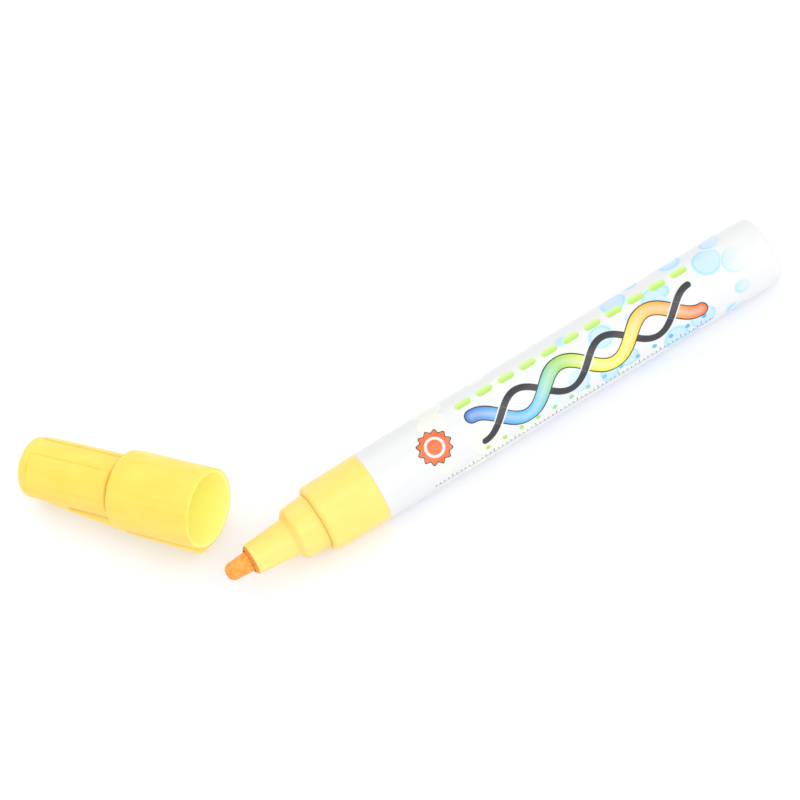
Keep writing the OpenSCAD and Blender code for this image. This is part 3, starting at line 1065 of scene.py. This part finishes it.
@dataclass
class FrontSection:
    """Yellow moulding with nozzle, neck and collar, and a plug inside the barrel."""

    axis: Axis
    nozzle_len: float = 9.6
    neck_len: float = 6.45
    plug_len: float = 12.0
    collar_radius: float = 7.5
    collar_draft: float = 0.2
    collar_edge: float = 1.0
    collar_rear_edge: float = 0.12
    neck_radius: float = 6.0
    neck_draft: float = 0.35
    neck_slope: float = 1.1
    neck_edge: float = 0.9
    nozzle_base: float = 4.1
    nozzle_tip: float = 3.35
    nozzle_fillet: float = 0.8
    nozzle_bevel: float = 0.65
    nozzle_edge: float = 0.3
    bevel_edge: float = 0.1
    recess: float = 2.6
    recess_depth: float = 1.4
    recess_edge: float = 0.2
    mouth_edge: float = 0.04
    nib_bore: float = 2.35
    bore_edge: float = 0.1
    gallery: float = 3.2
    gallery_at: float = 16.75
    chamber: float = 4.55
    chamber_at: float = 25.0
    plug_radius: float = 6.85
    plug_bevel: float = 0.6
    seal_inset: float = 4.0
    seal_half: float = 0.62
    seal_floor: float = 5.66
    crease: float = 0.2
    steps: int = 192

    def outline(self) -> list[Point]:
        """Draw the moulding's closed section.

        Returns:
            Points from the nozzle's mouth round the outside and back through the inside.
        """
        nozzle, plug_end, _ = span("front_section", self.axis)
        neck = nozzle + self.nozzle_len
        collar = neck + self.neck_len
        barrel = plug_end - self.plug_len
        seal = plug_end - self.seal_inset
        return rounded([
            Corner(self.recess, nozzle, self.mouth_edge),
            Corner(self.nozzle_tip - self.nozzle_bevel, nozzle, self.bevel_edge),
            Corner(self.nozzle_tip, nozzle + self.nozzle_bevel, self.nozzle_edge),
            Corner(self.nozzle_base, neck, self.nozzle_fillet),
            Corner(self.neck_radius - self.neck_draft, neck + self.neck_slope, self.neck_edge),
            Corner(self.neck_radius, collar - self.crease, self.crease / 4),
            Corner(self.neck_radius - self.crease, collar - self.crease / 2),
            Corner(self.neck_radius - self.crease, collar),
            Corner(self.collar_radius - self.collar_draft, collar, self.collar_edge),
            Corner(self.collar_radius, barrel, self.collar_rear_edge),
            Corner(self.plug_radius, barrel),
            Corner(self.plug_radius, seal - self.seal_half),
            Corner(self.seal_floor, seal - self.seal_half),
            Corner(self.seal_floor, seal + self.seal_half),
            Corner(self.plug_radius, seal + self.seal_half),
            Corner(self.plug_radius, plug_end - self.plug_bevel),
            Corner(self.plug_radius - self.plug_bevel, plug_end),
            Corner(self.chamber, plug_end),
            Corner(self.chamber, self.chamber_at),
            Corner(self.gallery, self.chamber_at),
            Corner(self.gallery, self.gallery_at),
            Corner(self.nib_bore, self.gallery_at),
            Corner(self.nib_bore, nozzle + self.recess_depth, self.bore_edge),
            Corner(self.recess, nozzle + self.recess_depth, self.recess_edge),
        ], closed=True)

    def build(self) -> bpy.types.Object:
        """Turn the moulding, dress it and hang it on its body.

        Returns:
            The new piece.
        """
        piece = turned("front_moulding", self.outline(), self.steps, closed=True)
        lay(piece, self.axis)
        paint(piece, FRONT_PLASTIC_MOUTH_SHADE.material(self.axis))
        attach(piece, Body.PEN.value)
        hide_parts("front_section")
        return piece


@dataclass
class Nib:
    """Bullet nib of bonded fibre, soaked with ink, with a rounded tip and a thinner tail."""

    axis: Axis
    exposed: float = 5.45
    grip_len: float = 9.1
    draft: float = 0.35
    tail_step: float = 0.5
    tip_round: float = 1.6
    grid: float = 0.16
    fuzz: float = 0.09
    fuzz_size: float = 0.5
    fuzz_layers: int = 3
    fuzz_level: float = 0.6
    steps: int = 112

    def outline(self) -> list[Point]:
        """Draw the nib's section.

        Returns:
            Points from the tip's middle to the tail's middle.
        """
        front, rear, radius = span("nib", self.axis)
        tail = front + self.exposed + self.grip_len
        tail_radius = radius - self.tail_step
        return rounded([
            Corner(0.0, front), Corner(radius - self.draft, front, self.tip_round),
            Corner(radius, front + self.exposed), Corner(radius, tail), Corner(tail_radius, tail),
            Corner(tail_radius, rear), Corner(0.0, rear),
        ], longest=self.grid)

    def roughen(self, piece: bpy.types.Object) -> None:
        """Push the surface in and out a little, as pressed fibre is uneven.

        Args:
            piece: The turned nib, in millimetres along +Z.
        """
        clumps = bpy.data.textures.new("fibre_clumps", "CLOUDS")
        clumps.noise_scale = self.fuzz_size
        clumps.noise_depth = self.fuzz_layers
        uneven = piece.modifiers.new("uneven", "DISPLACE")
        uneven.texture = clumps
        uneven.texture_coords = "LOCAL"
        uneven.strength = self.fuzz
        uneven.mid_level = self.fuzz_level
        bpy.context.view_layer.objects.active = piece
        bpy.ops.object.modifier_apply(modifier=uneven.name)

    def build(self) -> bpy.types.Object:
        """Turn the nib, roughen it, dress it and hang it on its body.

        Returns:
            The new piece.
        """
        piece = turned("fibre_nib", self.outline(), self.steps)
        self.roughen(piece)
        lay(piece, self.axis)
        paint(piece, INKED_FIBRE_GAP_SHADE.material(self.axis))
        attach(piece, Body.NIB.value)
        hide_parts("nib")
        return piece


@dataclass
class Valve:
    """Pump valve in the front section: its spring is modelled and its sealed solids get a finish."""

    axis: Axis
    coil: float = 2.2
    wire: float = 0.25
    turns: int = 7
    turn_steps: int = 24
    wire_sides: int = 10
    closed_pitch: float = 1.06
    travel: float = 2.2

    def rise(self, turn: float, length: float) -> float:
        """Find how high the wire has climbed, with a closed turn at each end.

        Args:
            turn: How many turns are wound.
            length: The spring's length.

        Returns:
            The height of the wire's middle above its start.
        """
        full = length - 2 * self.wire
        closed = 2 * self.wire * self.closed_pitch
        active = (full - 2 * closed) / (self.turns - 2)
        if turn < 1:
            return closed * turn
        if turn > self.turns - 1:
            return full - closed * (self.turns - turn)
        return closed + active * (turn - 1)

    def build_spring(self) -> bpy.types.Object:
        """Wind the spring step by step from a round section.

        Returns:
            The new piece.
        """
        front, rear, _ = span("valve_spring", self.axis)
        length = rear - front
        bpy.ops.object.select_all(action="DESELECT")
        bpy.ops.mesh.primitive_circle_add(
            vertices=self.wire_sides, radius=self.wire, fill_type="NGON", enter_editmode=True,
            location=(0, 0, 0),
        )
        piece = bpy.context.object
        piece.name = "valve_coil"
        piece.data.name = "valve_coil"
        bpy.ops.transform.rotate(value=math.pi / 2, orient_axis="X", center_override=(0, 0, 0))
        bpy.ops.transform.translate(value=(self.coil, 0, front + self.wire))
        steps = self.turns * self.turn_steps
        heights = [self.rise(step / self.turn_steps, length) for step in range(steps + 1)]
        turn = 2 * math.pi / self.turn_steps
        for below, above in zip(heights, heights[1:]):
            bpy.ops.mesh.extrude_region_move(TRANSFORM_OT_translate={"value": (0, 0, above - below)})
            bpy.ops.transform.rotate(value=-turn, orient_axis="Z", center_override=(0, 0, 0))
        weld()
        bpy.ops.object.mode_set(mode="OBJECT")
        lay(piece, self.axis)
        paint(piece, SPRING_WIRE.material(self.axis))
        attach(piece, Body.PEN.value)
        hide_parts("valve_spring")
        seat = self.axis.start + self.axis.along * (rear * MM)
        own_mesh(piece)
        return piece

    def dress(self) -> list[bpy.types.Object]:
        """Give the sealed solids of the valve, and the ball, their finishes.

        Returns:
            The dressed solids.
        """
        finishes = {
            "valve_stem": VALVE_PLASTIC, "valve_housing": VALVE_PLASTIC, "valve_retainer": VALVE_PLASTIC,
            "valve_seat": SEAL_RUBBER, "front_seal": SEAL_RUBBER, "mixing_ball": POLISHED_STEEL,
        }
        made: dict[str, bpy.types.Material] = {}
        for node, finish in finishes.items():
            if finish.name not in made:
                made[finish.name] = finish.material(self.axis)
            paint(frame["nodes"][node], made[finish.name])
        return [frame["nodes"][node] for node in finishes]


@dataclass
class Cap:
    """Stepped pull-off cap with raised panels, a pocket clip and a soft inner cap."""

    length: float = 43.0
    slim_len: float = 22.8
    step_inside: float = 23.5
    slim_end: float = 6.3
    slim_step: float = 6.55
    end_edge: float = 1.75
    end_wall: float = 1.6
    skirt_step: float = 8.25
    skirt_mouth: float = 8.45
    shoulder: float = 1.2
    rim: float = 0.25
    rim_edge: float = 0.08
    bore: float = 7.6
    bore_edge: float = 0.1
    bore_step_edge: float = 0.3
    slim_bore: float = 5.25
    slim_bore_edge: float = 0.2
    floor_edge: float = 0.4
    crease: float = 0.28
    gate: float = 0.9
    gate_depth: float = 0.15
    gate_slope: float = 0.2
    gate_edge: float = 0.1
    panel_angle: float = 78.0
    panel_places: int = 3
    panel_lead: float = 2.6
    panel_height: float = 0.24
    panel_groove: float = 0.13
    panel_slope: float = 0.12
    steps: int = 240
    grid: float = 2.0
    liner: float = 5.21
    liner_bore: float = 4.15
    liner_back: float = 5.45
    liner_floor: float = 6.45
    liner_mouth: float = 22.4
    liner_back_edge: float = 0.4
    liner_mouth_edge: float = 0.25
    liner_lip: float = 0.5
    liner_floor_edge: float = 0.6
    clip_angle: float = 34.0
    clip_t: float = 1.3
    clip_root_at: float = 3.8
    clip_root: float = 7.64
    clip_root_end: float = 9.9
    clip_knee_at: float = 26.0
    clip_knee: float = 10.111
    clip_tip_at: float = 41.2
    clip_tip: float = 10.602
    clip_edge: float = 0.28
    clip_edge_steps: int = 4
    clip_root_edge: float = 0.6
    clip_knee_round: float = 14.0
    clip_knee_hollow: float = 10.0
    clip_tip_edge: float = 0.5
    clip_tip_lip: float = 0.4
    clip_bend_half: float = 1.5
    bead: float = 0.38
    bead_inset: float = 2.4
    bead_half: float = 0.85
    bead_round: float = 0.6
    bead_fillet: float = 0.4
    sunk: float = 0.35
    web_gap: float = 0.35
    web_lead: float = 1.0
    web_edge: float = 0.3
    web_fillet: float = 0.15
    heel: float = 8.78
    heel_edge: float = 0.4
    clip_steps: int = 28
    clip_grid: float = 1.5
    angle_tolerance: float = 1e-4

    def __post_init__(self) -> None:
        """Find the cap's axis in the frame."""
        self.axis = cap_axis(self.step_inside)

    def slim(self, station: float) -> float:
        """Return the slim part's radius at a station."""
        return self.slim_end + (self.slim_step - self.slim_end) * station / self.slim_len

    def outline(self) -> list[Point]:
        """Draw the shell's section.

        Returns:
            Points from the closed end's middle round the mouth to the inner floor.
        """
        panel_end = self.slim_len - self.crease
        return rounded([
            Corner(0.0, self.gate_depth),
            Corner(self.gate, self.gate_depth, self.gate_edge),
            Corner(self.gate + self.gate_slope, 0.0, self.gate_edge),
            Corner(self.slim_end, 0.0, self.end_edge),
            Corner(self.slim(self.panel_lead), self.panel_lead),
            Corner(self.slim(panel_end), panel_end),
            Corner(self.slim_step - self.crease, self.slim_len - self.crease / 2),
            Corner(self.slim_step - self.crease, self.slim_len),
            Corner(self.skirt_step, self.slim_len, self.shoulder),
            Corner(self.skirt_mouth, self.length, self.rim),
            Corner(self.bore + self.rim, self.length, self.rim_edge),
            Corner(self.bore, self.length - self.rim, self.bore_edge),
            Corner(self.bore, self.step_inside, self.bore_step_edge),
            Corner(self.slim_bore, self.step_inside, self.slim_bore_edge),
            Corner(self.slim_bore, self.end_wall, self.floor_edge),
            Corner(0.0, self.end_wall),
        ], longest=self.grid)

    def raise_panels(self, piece: bpy.types.Object) -> None:
        """Raise the long panels on the slim part inside a fine groove, one on each side of the clip.

        Args:
            piece: The turned shell, in millimetres along +Z.
        """
        bpy.ops.object.mode_set(mode="EDIT")
        bpy.ops.mesh.select_mode(type="FACE")
        bpy.ops.mesh.select_all(action="DESELECT")
        bpy.ops.object.mode_set(mode="OBJECT")
        for index in range(1, self.panel_places):
            middle = 2 * math.pi * index / self.panel_places
            facing = Vector((math.cos(middle), math.sin(middle), 0.0))
            limit = math.cos(math.radians(self.panel_angle / 2))
            for face in piece.data.polygons:
                outward = Vector((face.center.x, face.center.y, 0.0))
                on_slim = self.panel_lead < face.center.z < self.slim_len - self.crease
                outer = outward.length > (self.slim_bore + self.slim_end) / 2
                if on_slim and outer and outward.normalized().dot(facing) > limit:
                    face.select = True
        bpy.ops.object.mode_set(mode="EDIT")
        bpy.ops.mesh.inset(thickness=self.panel_slope, depth=-self.panel_groove)
        bpy.ops.mesh.inset(thickness=self.panel_slope, depth=self.panel_groove + self.panel_height)
        bpy.ops.object.mode_set(mode="OBJECT")

    def build_shell(self) -> bpy.types.Object:
        """Turn the shell, raise its panels, dress it and hang it on its body.

        Returns:
            The new piece.
        """
        piece = turned("cap_moulding", self.outline(), self.steps)
        self.raise_panels(piece)
        lay(piece, self.axis)
        paint(piece, CAP_PLASTIC_PAINTED_LIGHT_AND_SHADE.material(self.axis))
        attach(piece, Body.CAP.value)
        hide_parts("cap_shell")
        return piece

    def build_liner(self) -> bpy.types.Object:
        """Turn the soft inner cap, dress it and hang it on its body.

        Returns:
            The new piece.
        """
        outline = rounded([
            Corner(0.0, self.liner_back),
            Corner(self.liner, self.liner_back, self.liner_back_edge),
            Corner(self.liner, self.liner_mouth, self.liner_mouth_edge),
            Corner(self.liner_bore, self.liner_mouth, self.liner_lip),
            Corner(self.liner_bore, self.liner_floor, self.liner_floor_edge),
            Corner(0.0, self.liner_floor),
        ], longest=self.grid)
        piece = turned("cap_liner", outline, self.steps // 2)
        lay(piece, self.axis)
        paint(piece, LINER_PLASTIC.material(self.axis))
        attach(piece, Body.CAP.value)
        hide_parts("inner_cap")
        return piece

    def clip_outline(self) -> list[Point]:
        """Draw the clip's closed section, with its root, its web, its knee and the bead under its tip.

        Returns:
            Points from the root round the outside to the tip and back along the inside.
        """
        inner_tip = self.clip_tip - self.clip_t
        bead_at = self.clip_tip_at - self.bead_inset
        web_end = self.slim_len - self.web_lead
        return rounded([
            Corner(self.slim(self.clip_root_at) - self.sunk, self.clip_root_at),
            Corner(self.clip_root, self.clip_root_at, self.clip_root_edge),
            Corner(self.clip_knee, self.clip_knee_at, self.clip_knee_round),
            Corner(self.clip_tip, self.clip_tip_at, self.clip_tip_edge),
            Corner(inner_tip, self.clip_tip_at, self.clip_tip_lip),
            Corner(inner_tip, bead_at + self.bead_half, self.bead_fillet),
            Corner(inner_tip - self.bead, bead_at, self.bead_round),
            Corner(inner_tip, bead_at - self.bead_half, self.bead_fillet),
            Corner(self.clip_knee - self.clip_t, self.clip_knee_at, self.clip_knee_hollow),
            Corner(self.heel, self.slim_len, self.heel_edge),
            Corner(self.slim(web_end) + self.web_gap, web_end, self.web_edge),
            Corner(self.slim(self.clip_root_end) + self.web_gap, self.clip_root_end, self.web_fillet),
            Corner(self.slim(self.clip_root_end) - self.sunk, self.clip_root_end),
        ], closed=True, longest=self.clip_grid)

    def build_clip(self) -> bpy.types.Object:
        """Sweep the clip's section round the cap, finish it and dress it.

        Returns:
            The new piece.
        """
        half = math.radians(self.clip_angle / 2)
        outline = self.clip_outline()
        side = Vector((math.cos(half), math.sin(half), 0.0))
        places = [side * radius + Vector((0.0, 0.0, station)) for radius, station in outline + outline[:1]]
        piece = drawn_line("pocket_clip", places)
        bpy.ops.mesh.remove_doubles(threshold=WELD)
        bpy.ops.mesh.spin(steps=self.clip_steps, angle=2 * half, center=(0, 0, 0), axis=(0, 0, 1))
        weld()
        self.close_sides(piece)
        self.round_sides(piece, half)
        lay(piece, self.axis)
        paint(piece, CLIP_PLASTIC_PAINTED_LIGHT_AND_SHADE.material(self.axis))
        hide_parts("cap_clip")
        hold = self.axis.at(0.0, self.clip_root_end - self.clip_bend_half)
        free = self.axis.at(0.0, self.clip_root_end + self.clip_bend_half)
        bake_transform(piece)
        return piece

    def close_sides(self, piece: bpy.types.Object) -> None:
        """Close the two open sides of the swept clip, one after the other.

        Args:
            piece: The swept clip, in edit mode.
        """
        bpy.ops.mesh.select_mode(type="EDGE")
        for _ in range(2):
            bpy.ops.mesh.select_all(action="DESELECT")
            bpy.ops.mesh.select_non_manifold()
            bpy.ops.object.mode_set(mode="OBJECT")
            first = next(edge for edge in piece.data.edges if edge.select)
            near = piece.data.vertices[first.vertices[0]].co.y > 0
            for edge in piece.data.edges:
                middle = sum(piece.data.vertices[index].co.y for index in edge.vertices)
                edge.select = edge.select and (middle > 0) == near
            bpy.ops.object.mode_set(mode="EDIT")
            bpy.ops.mesh.edge_face_add()

    def round_sides(self, piece: bpy.types.Object, half: float) -> None:
        """Round the edges along the clip's two sides.

        Args:
            piece: The swept clip, in edit mode.
            half: Half of the angle that the clip takes up.
        """
        bpy.ops.mesh.select_all(action="SELECT")
        bpy.ops.mesh.normals_make_consistent(inside=False)
        bpy.ops.mesh.select_all(action="DESELECT")
        bpy.ops.object.mode_set(mode="OBJECT")
        for edge in piece.data.edges:
            ends = [piece.data.vertices[index].co for index in edge.vertices]
            off = [abs(abs(math.atan2(end.y, end.x)) - half) for end in ends]
            edge.select = max(off) < self.angle_tolerance
        bpy.ops.object.mode_set(mode="EDIT")
        bpy.ops.mesh.bevel(
            offset=self.clip_edge, segments=self.clip_edge_steps, affect="EDGES", clamp_overlap=True,
        )
        weld()
        bpy.ops.object.mode_set(mode="OBJECT")


@dataclass(frozen=True)
class SoftLight:
    """Square soft light, with its place and its sides in millimetres and its power in watts."""

    name: str
    place: tuple[float, float, float]
    size: float
    power: float
    tint: Colour

    def build(self) -> None:
        """Hang the light and turn it towards the marker."""
        bpy.ops.object.light_add(type="AREA", location=Vector(self.place) * MM)
        light = bpy.context.object
        light.name = self.name
        light.rotation_euler = Vector(self.place).to_track_quat("Z", "Y").to_euler()
        light.data.size = self.size * MM
        light.data.energy = self.power
        light.data.color = self.tint[:3]


COOL_WHITE, WARM_WHITE = srgb("fafbff"), srgb("fffdf8")
LIGHTS = (
    SoftLight("front_light", (400.0, -2100.0, 2000.0), size=2600.0, power=28.5, tint=COOL_WHITE),
    SoftLight("back_light", (-200.0, 1500.0, 2600.0), size=2200.0, power=12.0, tint=WARM_WHITE),
    SoftLight("side_light", (1700.0, -1000.0, 1300.0), size=1600.0, power=4.5, tint=WARM_WHITE),
    SoftLight("low_light", (1100.0, -1700.0, 420.0), size=900.0, power=3.5, tint=WARM_WHITE),
)


@dataclass
class Studio:
    """Pale floor, soft light and a camera at the photograph's angle, all in millimetres."""

    aim: tuple[float, float, float] = (-3.28, -7.66, 7.81)
    azimuth: float = math.radians(-14.54)
    elevation: float = math.radians(53.26)
    roll: float = math.radians(-19.59)
    distance: float = 3421.7
    view_width: float = 162.93
    sensor: float = 36.0
    farthest: float = 100000.0
    floor_size: float = 6000.0
    floor_cloud: float = 400.0
    floor_colour: Colour = srgb("d1d3d8")
    floor_pale: Colour = srgb("d4d5d9")
    floor_roughness: float = 0.9
    floor_tint: Colour = srgb("fcfcff")
    floor_glow: float = 0.27
    sky_tint: Colour = srgb("f7f8fb")
    sky: float = 1.1

    def build_floor(self) -> None:
        """Add the floor, a pale table that is lit from below."""
        bpy.ops.object.select_all(action="DESELECT")
        bpy.ops.mesh.primitive_plane_add(size=self.floor_size * MM, location=(0, 0, 0))
        floor = bpy.context.object
        floor.name = "studio_floor"
        graph = Graph("pale_floor")
        cloud = graph.noise(graph.place(), self.floor_cloud * MM, detail=2.0)
        paint(floor, graph.surface({
            "Base Color": graph.mix(cloud, self.floor_colour, self.floor_pale),
            "Roughness": self.floor_roughness,
            "Specular IOR Level": 0.0,
            "Emission Color": self.floor_tint,
            "Emission Strength": self.floor_glow,
        }))

    def build_camera(self) -> None:
        """Add the camera and make it the scene's own."""
        sin_a, cos_a = math.sin(self.azimuth), math.cos(self.azimuth)
        sin_e, cos_e = math.sin(self.elevation), math.cos(self.elevation)
        back = Vector((sin_a * cos_e, -cos_a * cos_e, sin_e))
        level = Vector((cos_a, sin_a, 0.0))
        upright = back.cross(level)
        right = level * math.cos(self.roll) + upright * math.sin(self.roll)
        up = back.cross(right)
        bpy.ops.object.camera_add()
        camera = bpy.context.object
        turn = Matrix((right, up, back)).transposed().to_4x4()
        camera.matrix_world = Matrix.Translation((Vector(self.aim) + back * self.distance) * MM) @ turn
        camera.data.sensor_width = self.sensor
        camera.data.lens = self.sensor * self.distance / self.view_width
        camera.data.clip_end = self.farthest * MM
        bpy.context.scene.camera = camera

    def build_sky(self) -> None:
        """Fill the room with even pale light."""
        world = bpy.data.worlds.new("pale_room")
        world.use_nodes = True
        background = world.node_tree.nodes["Background"]
        background.inputs["Color"].default_value = self.sky_tint
        background.inputs["Strength"].default_value = self.sky
        bpy.context.scene.world = world

    def build(self) -> None:
        """Set up the camera, the floor and the lights."""
        self.build_camera()
        self.build_floor()
        for light in LIGHTS:
            light.build()
        self.build_sky()
        bpy.context.scene.view_settings.view_transform = "Standard"


def main() -> None:
    """Build and dress the marker piece by piece, then set up the studio."""
    logging.basicConfig(level=logging.INFO, format="%(name)s %(message)s")
    pen = pen_axis()
    valve, cap = Valve(pen), Cap()
    report(Barrel(pen).build())
    report(FrontSection(pen).build())
    report(Nib(pen).build())
    report(valve.build_spring())
    for node in valve.dress():
        report(node)
    report(cap.build_shell())
    report(cap.build_liner())
    report(cap.build_clip())
    Studio().build()


if __name__ == "__main__":
    main()
